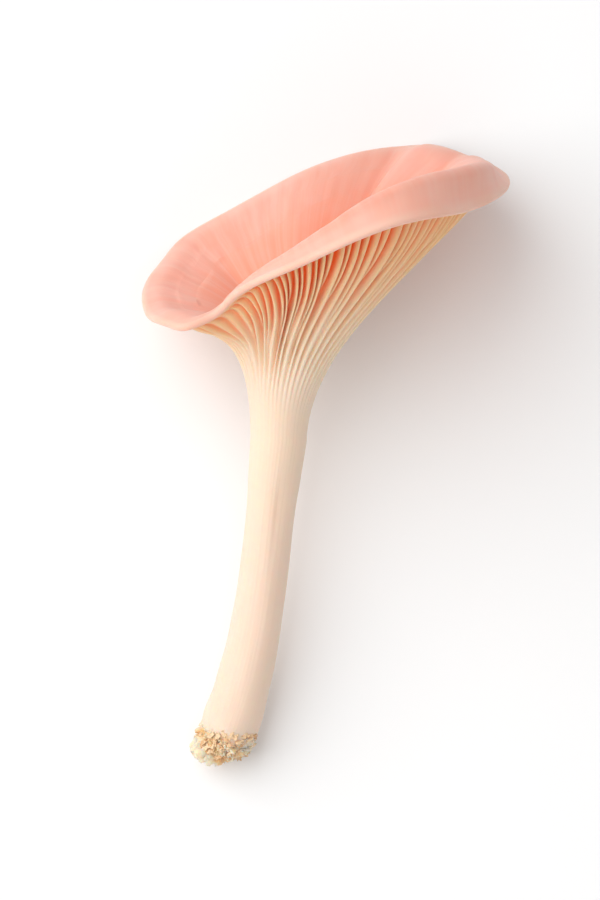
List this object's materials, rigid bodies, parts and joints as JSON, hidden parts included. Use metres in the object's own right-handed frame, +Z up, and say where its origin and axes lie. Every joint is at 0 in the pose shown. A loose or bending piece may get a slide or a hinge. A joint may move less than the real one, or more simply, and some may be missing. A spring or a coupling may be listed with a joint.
{
  "type": "oyster mushroom",
  "caption": "Pink oyster mushroom, picked whole and lying on its back: long bent stem with a torn foot, and a tilted funnel cap with a rolled lip and gills running down to the neck.",
  "frame": {"origin": "centre of the bounding box, on the surface that the mushroom lies on", "axes": "+Z up from the surface, +Y from the torn foot towards the cap, +X to the right as seen from above with the cap away"},
  "size_m": [0.0724, 0.1292, 0.0588],
  "materials": {
    "mushroom_flesh": "soft matte flesh: salmon pink cap, cream gills with orange-brown depths, cream stem"
  },
  "bodies": {
    "root": {"mushroom": "mushroom_flesh"}
  },
  "joints": []
}
